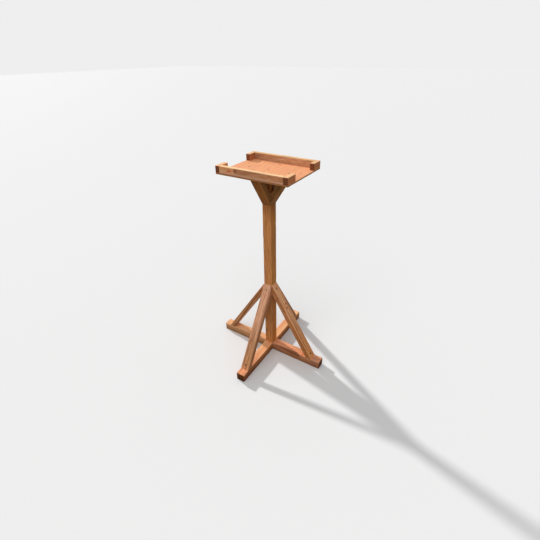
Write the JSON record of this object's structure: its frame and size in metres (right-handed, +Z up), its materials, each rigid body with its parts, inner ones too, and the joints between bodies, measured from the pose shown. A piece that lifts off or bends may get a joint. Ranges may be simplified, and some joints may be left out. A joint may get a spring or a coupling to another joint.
{
  "type": "bird table",
  "caption": "Free-standing wooden bird table: open tray with low rails and short corner returns on a braced square post with crossed feet.",
  "frame": {"origin": "on the ground under the middle of the post, at the centre of the crossed feet", "axes": "+Z up, -Y towards the front rail of the tray, +X to the right as seen from the front"},
  "size_m": [0.65, 0.629, 1.0915],
  "materials": {
    "stained_timber": "planed softwood with a thin reddish-brown stain, satin, grain and knots showing",
    "tray_board": "thin board with the same stain, worn paler on top",
    "screws": "yellow zinc plating, dulled outdoors"
  },
  "bodies": {
    "root": {"tray_board": "tray_board", "front_rail": "stained_timber", "back_rail": "stained_timber", "corner_return_front_left": "stained_timber", "corner_return_front_right": "stained_timber", "corner_return_back_left": "stained_timber", "corner_return_back_right": "stained_timber", "post": "stained_timber", "head_brace_front": "stained_timber", "head_brace_back": "stained_timber", "head_brace_left": "stained_timber", "head_brace_right": "stained_timber", "foot_beam_side_to_side": "stained_timber", "foot_beam_front_to_back": "stained_timber", "leg_brace_front": "stained_timber", "leg_brace_back": "stained_timber", "leg_brace_left": "stained_timber", "leg_brace_right": "stained_timber", "board_screws": "screws", "rail_screws": "screws", "corner_screws": "screws", "leg_brace_top_screws": "screws", "leg_brace_bottom_screws": "screws", "head_brace_screws": "screws", "post_foot_screws": "screws"}
  },
  "joints": []
}
